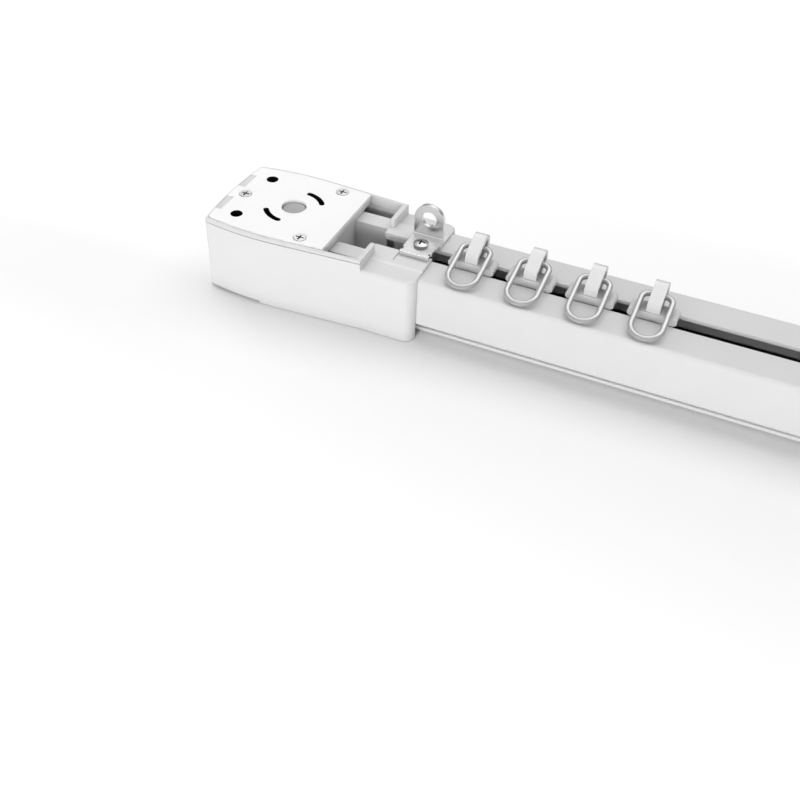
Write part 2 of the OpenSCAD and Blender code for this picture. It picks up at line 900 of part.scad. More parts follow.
module drive_belt() {
    color([0.1, 0.1, 0.1])
        translate([0, 0, belt_z])
            linear_extrude(height = belt_w)
                difference() {
                    belt_loop(belt_out);
                    belt_loop(belt_in);
                }
}

// Runners

// Block seen across the rail: a keel under the lips, a waist, and a longer head over the slot
module saddle_profile() {
    half = runner_l / 2;
    r = 1.5;
    side = concat(
        [[keel_l / 2 - 1.2, keel_z], [keel_l / 2, keel_z + 1.2], [keel_l / 2, lip_z]],
        [[half - 1.4, rail_top - 0.6], [half, rail_top + 0.6]],
        arc([half - r, saddle_z - r], r, 0, 90, 5)
    );
    polygon(concat(side, [for (i = [len(side) - 1 : -1 : 0]) [-side[i].x, side[i].y]]));
}

module runner_body() {
    difference() {
        union() {
            rotate([90, 0, 0])
                linear_extrude(height = stem_w, center = true)
                    saddle_profile();
            along(-strap_w / 2, strap_w / 2)
                difference() {
                    polygon(strap_outline(0, 2, saddle_z - 1));
                    polygon(strap_outline(strap_t, -1, saddle_z));
                }
        }
        translate([0, 0, axle_z])
            rotate([90, 0, 0])
                cylinder(h = stem_w + 2, d = axle_d + 2 * running_fit, center = true, $fn = 24);
    }
}

module wheel_axle() {
    translate([0, 0, axle_z])
        rotate([90, 0, 0])
            cylinder(h = 2 * (wheel_in + wheel_w) + 0.6, d = axle_d, center = true, $fn = 24);
}

module wheel_pair() {
    both()
        translate([0, wheel_in, axle_z])
            rotate([-90, 0, 0])
                difference() {
                    union() {
                        cylinder(h = wheel_w, r = wheel_r);
                        translate([0, 0, -0.5])
                            cylinder(h = 0.6, r = wheel_r / 2);
                    }
                    translate([0, 0, -1])
                        cylinder(h = wheel_w + 2, d = axle_d + 0.04, $fn = 24);
                    // Dished outer side
                    translate([0, 0, wheel_w - 0.6])
                        difference() {
                            cylinder(h = 1, r = wheel_r - 0.8);
                            translate([0, 0, -1])
                                cylinder(h = 3, r = wheel_r / 2);
                        }
                }
}

// Ring with a straight bar in the strap and a round far end
module runner_ring() {
    r = ring_shoulder;
    far = ring_c - ring_reach;
    translate([0, ring_seat.x, ring_seat.y])
        rotate([ring_lean, 0, 0]) {
            rotate([0, 90, 0])
                cylinder(h = 2 * (ring_c - r), d = wire_d, center = true, $fn = 24);
            for (s = [0, 1])
                mirror([s, 0, 0]) {
                    translate([ring_c - r, -r, 0])
                        rotate_extrude(angle = 90)
                            translate([r, 0])
                                circle(d = wire_d, $fn = 24);
                    translate([ring_c, -r, 0])
                        rotate([90, 0, 0])
                            cylinder(h = -r - far, d = wire_d, $fn = 24);
                }
            translate([0, far, 0])
                rotate([0, 0, 180])
                    rotate_extrude(angle = 180)
                        translate([ring_c, 0])
                            circle(d = wire_d, $fn = 24);
        }
}

// Runners 1 to 4 stand beside the end hook, and runner 5 by the master carrier
function runner_x(i) =
    i <= stack_n ? stack_x + (i - 1) * runner_pitch - track_l / 2 : track_l / 2 - parked_from_end;

module at_runner(i) {
    translate([runner_x(i), 0, 0])
        children();
}

module nth_body(i) { color("white") at_runner(i) runner_body(); }
module nth_axle(i) { color("silver") at_runner(i) wheel_axle(); }
module nth_wheels(i) { color("whitesmoke") at_runner(i) wheel_pair(); }
module nth_ring(i) { color("silver") at_runner(i) runner_ring(); }

// Master carrier

function carrier_axles() = [carrier_far - 6, carrier_near + 6];

module carrier_body() {
    color("white")
        difference() {
            union() {
                // Chassis under the lips
                from_return(carrier_far)
                    bar(0, carrier_l, stem_w / 2, chassis_z, lip_z - 0.4);
                // Hanging plate, narrower in the slot
                from_return(carrier_far)
                    rotate([90, 0, 0])
                        linear_extrude(height = carrier_t, center = true)
                            polygon(concat(
                                [[0, lip_z - 1], [carrier_l, lip_z - 1]],
                                arc([carrier_l - 3, carrier_foot - 3], 3, 0, 90, 6),
                                arc([3, carrier_foot - 3], 3, 90, 180, 6)
                            ));
                // Raised rims round the three long holes
                for (x = hook_hole_xs)
                    from_return(x)
                        translate([0, 0, hole_z])
                            rotate([90, 0, 0])
                                linear_extrude(height = carrier_t + 0.8, center = true)
                                    long_hole(5, 8);
            }
            for (x = hook_hole_xs)
                from_return(x)
                    translate([0, 0, hole_z])
                        rotate([90, 0, 0])
                            linear_extrude(height = carrier_t + 3, center = true)
                                long_hole(3.2, 6);
            from_return(carrier_far - small_hole_inset)
                translate([0, 0, carrier_foot - small_hole_drop])
                    rotate([90, 0, 0])
                        cylinder(h = carrier_t + 2, d = small_hole_d, center = true, $fn = 24);
            for (x = carrier_axles())
                from_return(x)
                    translate([0, 0, axle_z])
                        rotate([90, 0, 0])
                            cylinder(h = stem_w + 2, d = axle_d + 2 * running_fit, center = true, $fn = 24);
            arm_screw_places()
                cylinder(h = 20, d = screw_d, center = true);
            clamp_screw_places()
                cylinder(h = 12, d = 1.6, center = true, $fn = 24);
        }
}

module long_hole(w, h) {
    for (s = [-1, 1])
        translate([0, s * (h - w) / 2])
            circle(d = w, $fn = 32);
    square([w, h - w], center = true);
}

// Axes of the arm's screws, pointing out of the arm along local Z
module arm_screw_places() {
    for (x = arm_screw_xs)
        from_return(x)
            translate([0, arm_y + arm_t, carrier_foot - 6.3])
                rotate([-90, 0, 0])
                    children();
}

module overlap_arm() {
    x0 = 0;
    bend = arm_far - arm_web;
    ear = arm_far - free_far;
    path = [
        [x0, 0], [bend, 0], [ear, arm_jog], [ear + 5, arm_jog],
        [ear + 5, arm_jog + arm_t], [ear - 0.7, arm_jog + arm_t], [bend - 0.7, arm_t], [x0, arm_t]
    ];
    top_z = arm_top - arm_h;
    web_low = arm_top - 5;
    color([0.45, 0.45, 0.47])
        difference() {
            translate([track_l / 2 - arm_far, arm_y, 0])
                union() {
                    // Fixed plate, its lower corners rounded
                    translate([0, arm_t, 0])
                        rotate([90, 0, 0])
                            linear_extrude(height = arm_t)
                                polygon(concat(
                                    [[0, top_z], [bend + 0.2, top_z]],
                                    [[bend + 0.2, web_low]],
                                    [[bend - 1, web_low]],
                                    arc([bend - 2, arm_top - 1], 1, 0, 90, 3),
                                    arc([2.5, arm_top - 2.5], 2.5, 90, 180, 5)
                                ));
                    // Joggled web and the ear that it lands on
                    translate([0, 0, top_z])
                        linear_extrude(height = web_low - top_z)
                            polygon(path);
                    // Free plate
                    translate([ear - 0.7, arm_jog + arm_t, 0])
                        rotate([90, 0, 0])
                            linear_extrude(height = arm_t)
                                polygon(concat(
                                    [[0, top_z + arm_drop]],
                                    arc([arm_l - 1.5, top_z + arm_drop + 1.5], 1.5, -90, 0, 4),
                                    arc([arm_l - 1.5, arm_top + arm_drop - 1.5], 1.5, 0, 90, 4),
                                    arc([1.5, arm_top + arm_drop - 1.5], 1.5, 90, 180, 4)
                                ));
                }
            for (x = arm_hole_xs)
                from_return(x)
                    translate([0, arm_y + arm_jog, arm_top + arm_drop - arm_h / 2])
                        rotate([90, 0, 0])
                            cylinder(h = 9, d = arm_hole_d, center = true);
            arm_screw_places()
                cylinder(h = 9, d = screw_d + 0.4, center = true);
        }
}

module arm_screws() {
    color([0.25, 0.25, 0.27])
        arm_screw_places()
            pan_screw(screw_d - 0.2, arm_t + carrier_t - 0.4, 6.4, 1.8);
}

// The clamp reaches from the chassis to the belt and rides round it
clamp_l = 22;
clamp_inset = 26.4;
clamp_far = carrier_far - clamp_inset;
jaw = 1.6;

module belt_clamp() {
    jaw_in = belt_in - tooth_h - gap - jaw;
    jaw_out = belt_out + gap + jaw;
    jaw_low = belt_z - gap;
    jaw_top = belt_z + belt_w + gap;
    roof = web_top - gap;
    color([0.2, 0.2, 0.22])
        from_return(clamp_far)
            difference() {
                union() {
                    along(0, clamp_l)
                        polygon([
                            [jaw_in, jaw_low], [jaw_in + jaw, jaw_low], [jaw_in + jaw, jaw_top],
                            [jaw_out - jaw, jaw_top], [jaw_out - jaw, jaw_low], [jaw_out, jaw_low],
                            [jaw_out, roof], [-stem_w / 2, roof], [-stem_w / 2, chassis_z - 2.4],
                            [jaw_in, chassis_z - 2.4]
                        ]);
                    // Pad that seats against the underside of the chassis
                    bar(0, clamp_l, stem_w / 2, chassis_z - 2.4, chassis_z);
                }
                for (x = [4, clamp_l - 4])
                    translate([x, 0, chassis_z - 4])
                        cylinder(h = 6, d = 2, $fn = 24);
            }
}

module clamp_screw_places() {
    for (x = [4, clamp_l - 4])
        from_return(clamp_far - x)
            translate([0, 0, chassis_z - 2.4])
                rotate([180, 0, 0])
                    children();
}

module clamp_screws() {
    color("silver")
        clamp_screw_places()
            pan_screw(1.5, 6, 3.4, 1);
}

module carrier_wheelset(x) {
    from_return(x)
        children();
}

// End hook

module end_hook() {
    near = -7;
    far = 8.9;
    bend_r = 2;
    top = pad_z + hook_h;
    color([0.8, 0.8, 0.8])
        at_drive()
            translate([hook_x, 0, 0])
                difference() {
                    along(-hook_w / 2, hook_w / 2)
                        polygon(concat(
                            [[near, pad_z]],
                            arc([far - bend_r, pad_z + bend_r], bend_r, -90, 0, 6),
                            [[far, top], [far - hook_t, top]],
                            arc([far - bend_r, pad_z + bend_r], bend_r - hook_t, 0, -90, 3),
                            [[near, pad_z + hook_t]]
                        ));
                    translate([0, 0, top - hook_w / 2])
                        rotate([90, 0, 0])
                            difference() {
                                translate([0, hook_w / 2 + 1, 0])
                                    cube([hook_w + 2, hook_w + 2, 4 * far], center = true);
                                cylinder(h = 5 * far, d = hook_w, center = true);
                            }
                    translate([0, 0, top - hook_w / 2])
                        rotate([-90, 0, 0])
                            cylinder(h = 2 * far, d = hook_hole_d);
                    for (s = [-1, 1])
                        translate([s * (hook_w / 2 + 0.2), -4.4, pad_z - 1])
                            cylinder(h = 5, r = 1.1, $fn = 24);
                    translate([0, 0, pad_z - 1])
                        cylinder(h = 5, d = hook_screw_d + 0.4);
                }
}

hook_x = unit_l - 6.5;
hook_screw_d = 3.4;
nut_t = 2.6;
nut_z = lip_z - 0.2 - nut_t;

module end_hook_screw() {
    color("silver")
        at_drive()
            translate([hook_x, 0, pad_z + hook_t])
                pan_screw(hook_screw_d, pad_z + hook_t - nut_z + 0.6, 5.7, 1.7);
}

module end_hook_nut() {
    color("silver")
        at_drive()
            translate([hook_x, 0, nut_z])
                difference() {
                    bar(-5, 5, web_in - 0.4, 0, nut_t);
                    translate([0, 0, -1])
                        cylinder(h = nut_t + 2, d = hook_screw_d + 0.04);
                }
}

rail();
drive_housing();
drive_lid();
drive_motor_plate();
drive_plate_screws();
drive_pulley();
drive_socket_plug();
drive_upper_bush();
drive_lower_bush();
return_housing();
return_lid();
return_motor_plate();
return_plate_screws();
return_pulley();
return_socket_plug();
return_upper_bush();
return_lower_bush();
drive_belt();
carrier_body();
belt_clamp();
clamp_screws();
overlap_arm();
arm_screws();
color("silver") from_return(carrier_axles()[1]) wheel_axle();  // carrier_front_axle
color("whitesmoke") from_return(carrier_axles()[1]) wheel_pair();  // carrier_front_wheels
color("silver") from_return(carrier_axles()[0]) wheel_axle();  // carrier_rear_axle
color("whitesmoke") from_return(carrier_axles()[0]) wheel_pair();  // carrier_rear_wheels
end_hook();
end_hook_screw();
end_hook_nut();
nth_body(1);  // runner_1_body
nth_axle(1);  // runner_1_axle
nth_wheels(1);  // runner_1_wheels
nth_ring(1);  // runner_1_ring
nth_body(2);  // runner_2_body
nth_axle(2);  // runner_2_axle
nth_wheels(2);  // runner_2_wheels
nth_ring(2);  // runner_2_ring
nth_body(3);  // runner_3_body
nth_axle(3);  // runner_3_axle
nth_wheels(3);  // runner_3_wheels
nth_ring(3);  // runner_3_ring
nth_body(4);  // runner_4_body
nth_axle(4);  // runner_4_axle
nth_wheels(4);  // runner_4_wheels
nth_ring(4);  // runner_4_ring
nth_body(5);  // runner_5_body
nth_axle(5);  // runner_5_axle
nth_wheels(5);  // runner_5_wheels
nth_ring(5);  // runner_5_ring
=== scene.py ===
"""Looks of the electric curtain track: camera, soft studio, materials and fine detail.

Lengths are in metres, and in millimetres from the section of the finer pieces on.
"""

import math

import bmesh
import bpy
from mathutils import Matrix, Vector


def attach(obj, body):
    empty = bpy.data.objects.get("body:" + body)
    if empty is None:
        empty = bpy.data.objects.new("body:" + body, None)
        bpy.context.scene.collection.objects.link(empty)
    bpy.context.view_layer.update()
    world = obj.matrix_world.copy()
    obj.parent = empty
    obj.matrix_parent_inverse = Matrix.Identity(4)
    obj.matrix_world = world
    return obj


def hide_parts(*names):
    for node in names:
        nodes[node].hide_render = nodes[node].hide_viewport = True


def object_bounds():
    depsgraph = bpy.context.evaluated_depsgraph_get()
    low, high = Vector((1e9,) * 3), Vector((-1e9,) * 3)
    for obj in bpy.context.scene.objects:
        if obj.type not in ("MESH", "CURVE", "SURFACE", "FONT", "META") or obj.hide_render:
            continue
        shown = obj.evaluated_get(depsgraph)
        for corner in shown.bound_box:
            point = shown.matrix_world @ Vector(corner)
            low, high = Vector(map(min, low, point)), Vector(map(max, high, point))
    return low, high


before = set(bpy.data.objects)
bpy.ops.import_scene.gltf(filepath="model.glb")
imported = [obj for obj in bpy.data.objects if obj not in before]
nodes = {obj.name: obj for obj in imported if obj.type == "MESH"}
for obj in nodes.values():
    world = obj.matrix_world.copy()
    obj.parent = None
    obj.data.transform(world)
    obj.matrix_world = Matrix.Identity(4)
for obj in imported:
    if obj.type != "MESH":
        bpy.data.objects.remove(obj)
cad_lo, cad_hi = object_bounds()
scene = bpy.context.scene

MM = 0.001

# Camera, solved from the rail's and the end unit's edges in the photograph

CAMERA_PLACE = (-0.2365, -0.3224, 0.2619)
# Azimuth, tilt and roll, in degrees
CAMERA_TURN = (22.96, 48.12, 1.83)
# Focal length and width of the photograph, both in its pixels
FOCAL_PIXELS = 1090.2
PHOTO_PIXELS = 800
SENSOR = 36.0
# Nearest and farthest distance that the camera sees
CLIP_NEAR = 0.01
CLIP_FAR = 50.0


def turned(azimuth, tilt, roll):
    return (
        Matrix.Rotation(math.radians(azimuth), 4, "Z")
        @ Matrix.Rotation(math.radians(tilt), 4, "X")
        @ Matrix.Rotation(math.radians(roll), 4, "Z")
    )


def make_camera():
    data = bpy.data.cameras.new("camera")
    data.sensor_width = SENSOR
    data.lens = FOCAL_PIXELS / PHOTO_PIXELS * SENSOR
    data.clip_start = CLIP_NEAR
    data.clip_end = CLIP_FAR
    camera = bpy.data.objects.new("camera", data)
    scene.collection.objects.link(camera)
    camera.matrix_world = Matrix.Translation(CAMERA_PLACE) @ turned(*CAMERA_TURN)
    scene.camera = camera


# Node tree helpers


def new_tree(target):
    target.use_nodes = True
    tree = target.node_tree
    tree.nodes.clear()
    return tree


def add(tree, kind, **values):
    """Adds a node. Names that start with in_ set its sockets, the others its properties."""
    node = tree.nodes.new(kind)
    for key, value in values.items():
        if key.startswith("in_"):
            node.inputs[key[3:].replace("_", " ")].default_value = value
        else:
            setattr(node, key, value)
    return node


def all_grey(value):
    return (value, value, value)


def grey(value):
    return (*all_grey(value), 1.0)


def ramp_node(tree, stops):
    """Adds a colour ramp from pairs of a position and a colour."""
    node = add(tree, "ShaderNodeValToRGB")
    elements = node.color_ramp.elements
    while len(elements) < len(stops):
        elements.new(0.5)
    for element, (position, colour) in zip(elements, stops):
        element.position = position
        element.color = colour
    return node


# World, floor and lights

# Strength of the even light on the surfaces
AMBIENT = 0.37
# Height in the sky, from the horizon at 0 to straight up at 1, and how bright reflections see it
SKY = [(0.0, 0.5), (0.12, 0.22), (0.45, 0.4), (0.8, 1.0)]
PAPER = 0.82
FLOOR_HALF_WIDTH = 6.0
# The floor lies this much under the object, so that their faces don't share a plane
FLOOR_DROP = 0.0002
# Place across the rail and how much brighter the camera sees the floor there. The glow is
# weaker just in front of the rail, a painted shadow, and stronger behind it, painted light
FLOOR_GLOW_AND_PAINTED_SHADOW = [(-0.15, 0.3), (-0.09, 0.2), (-0.05, 0.12), (-0.02, 0.11), (0.03, 0.25), (0.15, 0.3)]
# Distances from the middle over which the floor turns plain white
FLOOR_FADE = (0.8, 1.6)


def make_world():
    """White to the camera, an even low light for the surfaces, and a graded sky for reflections."""
    world = bpy.data.worlds.new("studio")
    scene.world = world
    t = new_tree(world)
    out = add(t, "ShaderNodeOutputWorld")
    light = add(t, "ShaderNodeBackground", in_Color=grey(1.0), in_Strength=AMBIENT)
    seen = add(t, "ShaderNodeBackground", in_Color=grey(1.0), in_Strength=1.0)
    mirrored = add(t, "ShaderNodeBackground", in_Strength=1.0)
    where = add(t, "ShaderNodeTexCoord")
    split = add(t, "ShaderNodeSeparateXYZ")
    t.links.new(where.outputs["Generated"], split.inputs[0])
    sky = ramp_node(t, [(height, grey(value)) for height, value in SKY])
    t.links.new(split.outputs["Z"], sky.inputs["Fac"])
    t.links.new(sky.outputs["Color"], mirrored.inputs["Color"])
    path = add(t, "ShaderNodeLightPath")
    glossy = add(t, "ShaderNodeMixShader")
    t.links.new(path.outputs["Is Glossy Ray"], glossy.inputs["Fac"])
    t.links.new(light.outputs[0], glossy.inputs[1])
    t.links.new(mirrored.outputs[0], glossy.inputs[2])
    camera = add(t, "ShaderNodeMixShader")
    t.links.new(path.outputs["Is Camera Ray"], camera.inputs["Fac"])
    t.links.new(glossy.outputs[0], camera.inputs[1])
    t.links.new(seen.outputs[0], camera.inputs[2])
    t.links.new(camera.outputs[0], out.inputs["Surface"])


def floor_material():
    """White paper that the camera sees brighter, so only the shadow stands out; that glow dips
    in front of the rail as painted shadow and rises behind it as painted light.
    """
    m = bpy.data.materials.new("floor_paper")
    t = new_tree(m)
    out = add(t, "ShaderNodeOutputMaterial")
    body = add(t, "ShaderNodeBsdfPrincipled", in_Base_Color=grey(PAPER), in_Roughness=0.7)
    body.inputs["Specular IOR Level"].default_value = 0.2
    glow = add(t, "ShaderNodeEmission", in_Color=grey(1.0))
    where = add(t, "ShaderNodeTexCoord")
    split = add(t, "ShaderNodeSeparateXYZ")
    across = add(t, "ShaderNodeMapRange")
    near, far = FLOOR_GLOW_AND_PAINTED_SHADOW[0][0], FLOOR_GLOW_AND_PAINTED_SHADOW[-1][0]
    across.inputs["From Min"].default_value = near
    across.inputs["From Max"].default_value = far
    # Painted shadow in front of the rail and painted light behind it, set by the glow's place
    # across the rail
    amounts = ramp_node(t, [((y - near) / (far - near), grey(amount)) for y, amount in FLOOR_GLOW_AND_PAINTED_SHADOW])
    t.links.new(where.outputs["Object"], split.inputs[0])
    t.links.new(split.outputs["Y"], across.inputs["Value"])
    t.links.new(across.outputs["Result"], amounts.inputs["Fac"])
    away = add(t, "ShaderNodeVectorMath", operation="LENGTH")
    far_glow = add(t, "ShaderNodeMapRange")
    far_glow.inputs["From Min"].default_value = FLOOR_FADE[0]
    far_glow.inputs["From Max"].default_value = FLOOR_FADE[1]
    total = add(t, "ShaderNodeMath", operation="ADD")
    t.links.new(where.outputs["Object"], away.inputs[0])
    t.links.new(away.outputs["Value"], far_glow.inputs["Value"])
    t.links.new(amounts.outputs["Color"], total.inputs[0])
    t.links.new(far_glow.outputs["Result"], total.inputs[1])
    t.links.new(total.outputs["Value"], glow.inputs["Strength"])
    both = add(t, "ShaderNodeAddShader")
    pick = add(t, "ShaderNodeMixShader")
    path = add(t, "ShaderNodeLightPath")
    t.links.new(body.outputs[0], both.inputs[0])
    t.links.new(glow.outputs[0], both.inputs[1])
    t.links.new(path.outputs["Is Camera Ray"], pick.inputs["Fac"])
    t.links.new(body.outputs[0], pick.inputs[1])
    t.links.new(both.outputs[0], pick.inputs[2])
    t.links.new(pick.outputs[0], out.inputs["Surface"])
    return m


def make_floor():
    mesh = bpy.data.meshes.new("floor")
    b = bmesh.new()
    signs = ((-1, -1), (1, -1), (1, 1), (-1, 1))
    places = [(x * FLOOR_HALF_WIDTH, y * FLOOR_HALF_WIDTH, -FLOOR_DROP) for x, y in signs]
    b.faces.new([b.verts.new(place) for place in places])
    b.to_mesh(mesh)
    b.free()
    floor = bpy.data.objects.new("floor", mesh)
    scene.collection.objects.link(floor)
    mesh.materials.append(floor_material())


def soft_light(name, place, aim, width, height, power, mirrored=True):
    """Adds a rectangular light. Its power is in watts, and glossy rays see it only if mirrored."""
    data = bpy.data.lights.new(name, "AREA")
    data.shape = "RECTANGLE"
    data.size = width
    data.size_y = height
    data.energy = power
    light = bpy.data.objects.new(name, data)
    scene.collection.objects.link(light)
    light.location = place
    light.rotation_euler = (Vector(aim) - Vector(place)).to_track_quat("-Z", "Y").to_euler()
    light.visible_glossy = mirrored


def make_lights():
    soft_light(
        "overhead",
        place=(-0.1, 0.8, 1.7),
        aim=(-0.1, 0.0, 0.0),
        width=2.4,
        height=1.4,
        power=19.5,
    )
    soft_light(
        "front",
        place=(-0.2, -2.1, 0.42),
        aim=(-0.2, 0.0, 0.0),
        width=2.8,
        height=0.7,
        power=37.0,
        mirrored=False,
    )
    soft_light(
        "end",
        place=(-0.78, 0.16, 0.3),
        aim=(-0.44, 0.0, 0.02),
        width=0.3,
        height=0.3,
        power=0.62,
        mirrored=False,
    )


# Materials

# Distance over which surfaces are tested for cavities that get painted shade
PAINTED_SHADE_REACH = 0.008
# How open a place is at a cavity's deepest, where it is middling, and where it counts as open and
# the painted shade ends
PAINTED_SHADE_STOPS = (0.02, 0.3, 0.85)
# Shares by which the tone wanders down and up, and the noise values where it gets there
TONE_DOWN = 0.02
TONE_UP = 0.008
TONE_STOPS = (0.3, 0.7)
TONE_WAVES_PER_METRE = 45.0
LEAST_ROUGH = 0.02
COAT_ROUGH = 0.08
# How far the surface grain stands up
RELIEF = 0.0002
# How far light goes under a surface that scatters it, with a share for each colour
SCATTER_DEPTH = 0.002
SCATTER_SHARES = (0.8, 0.8, 0.8)


def surface(
    name,
    colour,
    rough,
    metal=0.0,
    grain=0.0002,
    bump=0.05,
    rough_spread=0.06,
    edge=0.0003,
    streak=None,
    coat=0.0,
    scatter=0.0,
    painted_shade_and_light_mid=0.6,
    painted_shade_and_light_deep=0.2,
    specular=0.5,
):
    """One solid material: tone that wanders, grain, soft edges, varied gloss, painted cavity shade.

    grain is the size of the surface grain and edge the radius of the softened edges, in metres.
    streak stretches the grain along the axes where it is below 1. The colour is multiplied by the
    middle cavity factor where a cavity is middling and by the deep one where it is at its deepest.
    This is painted shade; a factor above 1 paints the cavity lighter instead, as painted bounce
    light.
    """
    m = bpy.data.materials.new(name)
    t = new_tree(m)
    out = add(t, "ShaderNodeOutputMaterial")
    body = add(t, "ShaderNodeBsdfPrincipled", in_Metallic=metal)
    body.inputs["Coat Weight"].default_value = coat
    body.inputs["Coat Roughness"].default_value = COAT_ROUGH
    body.inputs["Specular IOR Level"].default_value = specular
    if scatter:
        body.inputs["Subsurface Weight"].default_value = scatter
        body.inputs["Subsurface Radius"].default_value = SCATTER_SHARES
        body.inputs["Subsurface Scale"].default_value = SCATTER_DEPTH
    where = add(t, "ShaderNodeTexCoord")
    stretch = add(t, "ShaderNodeMapping")
    if streak:
        stretch.inputs["Scale"].default_value = streak
    t.links.new(where.outputs["Object"], stretch.inputs["Vector"])
    broad = add(
        t, "ShaderNodeTexNoise", in_Scale=TONE_WAVES_PER_METRE, in_Detail=4.0, in_Roughness=0.6
    )
    t.links.new(where.outputs["Object"], broad.inputs["Vector"])
    fine = add(t, "ShaderNodeTexNoise", in_Scale=1.0 / grain, in_Detail=3.0, in_Roughness=0.55)
    t.links.new(stretch.outputs["Vector"], fine.inputs["Vector"])
    low = [c * (1 - TONE_DOWN) for c in colour]
    high = [min(c * (1 + TONE_UP), 1.0) for c in colour]
    tones = ramp_node(t, list(zip(TONE_STOPS, ((*low, 1.0), (*high, 1.0)))))
    t.links.new(broad.outputs["Fac"], tones.inputs["Fac"])
    # Painted shade: the colour is multiplied by a factor that follows how enclosed each place is
    hidden = add(t, "ShaderNodeAmbientOcclusion", samples=8, in_Distance=PAINTED_SHADE_REACH)
    painted_shade_ramp = ramp_node(t, list(zip(PAINTED_SHADE_STOPS, (grey(painted_shade_and_light_deep), grey(painted_shade_and_light_mid), grey(1.0)))))
    t.links.new(hidden.outputs["AO"], painted_shade_ramp.inputs["Fac"])
    mixed = add(t, "ShaderNodeMix", data_type="RGBA", blend_type="MULTIPLY")
    mixed.inputs["Factor"].default_value = 1.0
    t.links.new(tones.outputs["Color"], mixed.inputs["A"])
    t.links.new(painted_shade_ramp.outputs["Color"], mixed.inputs["B"])
    t.links.new(mixed.outputs["Result"], body.inputs["Base Color"])
    spread = add(t, "ShaderNodeMapRange")
    spread.inputs["To Min"].default_value = max(rough - rough_spread, LEAST_ROUGH)
    spread.inputs["To Max"].default_value = rough + rough_spread
    t.links.new(fine.outputs["Fac"], spread.inputs["Value"])
    t.links.new(spread.outputs["Result"], body.inputs["Roughness"])
    relief = add(t, "ShaderNodeBump", in_Strength=bump, in_Distance=RELIEF)
    t.links.new(fine.outputs["Fac"], relief.inputs["Height"])
    if edge:
        rounded = add(t, "ShaderNodeBevel", samples=4, in_Radius=edge)
        t.links.new(rounded.outputs["Normal"], relief.inputs["Normal"])
    t.links.new(relief.outputs["Normal"], body.inputs["Normal"])
    t.links.new(body.outputs[0], out.inputs["Surface"])
    return m


# Every material below has light and shade painted into its cavities: darker by default, lighter
# where a factor is above 1
def make_materials():
    return {
        "rail": surface(
            "rail_coat",
            all_grey(0.69),
            rough=0.42,
            grain=0.0004,
            bump=0.06,
            streak=(0.04, 1.0, 1.0),
            # Factors above 1 paint the rail's cavities lighter: painted bounce light
            painted_shade_and_light_mid=1.1,
            painted_shade_and_light_deep=1.35,
        ),
        "shell": surface(
            "shell_plastic",
            all_grey(0.72),
            rough=0.45,
            grain=0.00025,
            bump=0.08,
            painted_shade_and_light_mid=0.82,
            painted_shade_and_light_deep=0.5,
        ),
        "lid": surface("lid_plastic", all_grey(0.74), rough=0.3, grain=0.0005, bump=0.03),
        "plate": surface(
            "plate_coat",
            all_grey(0.97),
            rough=0.4,
            grain=0.0003,
            painted_shade_and_light_mid=0.9,
            painted_shade_and_light_deep=0.6,
        ),
        "zinc": surface(
            "zinc_steel",
            all_grey(0.84),
            rough=0.34,
            metal=1.0,
            bump=0.04,
            edge=0.00015,
            painted_shade_and_light_mid=0.3,
            painted_shade_and_light_deep=0.01,
        ),
        "hook_screw": surface(
            "hook_screw_steel",
            all_grey(0.5),
            rough=0.34,
            metal=1.0,
            edge=0.00015,
            painted_shade_and_light_mid=0.3,
            painted_shade_and_light_deep=0.01,
        ),
        "hook": surface(
            "hook_steel",
            all_grey(0.92),
            rough=0.24,
            metal=1.0,
            grain=0.0004,
            bump=0.015,
            rough_spread=0.03,
            streak=(1.0, 1.0, 0.05),
            painted_shade_and_light_mid=0.9,
            painted_shade_and_light_deep=0.5,
        ),
        "arm": surface(
            "arm_steel",
            all_grey(0.42),
            rough=0.38,
            metal=0.45,
            grain=0.0003,
            painted_shade_and_light_mid=0.8,
            painted_shade_and_light_deep=0.4,
        ),
        "arm_screw": surface(
            "arm_screw_steel",
            all_grey(0.32),
            rough=0.2,
            metal=1.0,
            bump=0.03,
            edge=0.00015,
            painted_shade_and_light_deep=0.02,
        ),
        "belt": surface("belt_rubber", all_grey(0.07), rough=0.7, grain=0.0003, bump=0.25),
        "pulley": surface("pulley_nylon", all_grey(0.12), rough=0.45, grain=0.0003, bump=0.1),
        "plug": surface(
            "plug_plastic",
            all_grey(0.4),
            rough=0.45,
            grain=0.0003,
            bump=0.08,
            painted_shade_and_light_mid=0.75,
        ),
        "bush": surface("bush_bronze", (0.6, 0.42, 0.22), rough=0.35, metal=1.0, bump=0.1),
        "clamp": surface("clamp_nylon", all_grey(0.05), rough=0.5, grain=0.0003, bump=0.15),
        "clear": surface(
            "carrier_acetal",
            (0.9, 0.9, 0.91),
            rough=0.25,
            grain=0.0005,
            bump=0.02,
            scatter=0.6,
        ),
        "runner": surface(
            "runner_acetal",
            all_grey(0.71),
            rough=0.22,
            grain=0.0006,
            bump=0.02,
            coat=0.35,
            scatter=0.2,
            painted_shade_and_light_mid=0.75,
        ),
        "wheel": surface("wheel_acetal", all_grey(0.78), rough=0.35, grain=0.0004, bump=0.03),
        "chrome": surface(
            "ring_plated",
            all_grey(0.47),
            rough=0.3,
            metal=0.45,
            grain=0.0008,
            bump=0.02,
            edge=0.0,
            coat=0.5,
            painted_shade_and_light_mid=0.85,
            painted_shade_and_light_deep=0.5,
        ),
        # Near-black liners of the plate holes: painted shade
        "hole_shade": surface(
            "hole_painted_shade",
            all_grey(0.012),
            rough=0.6,
            grain=0.0003,
            bump=0.1,
            specular=0.1,
        ),
    }


RUNNERS = ["runner_%d" % i for i in range(1, 6)]


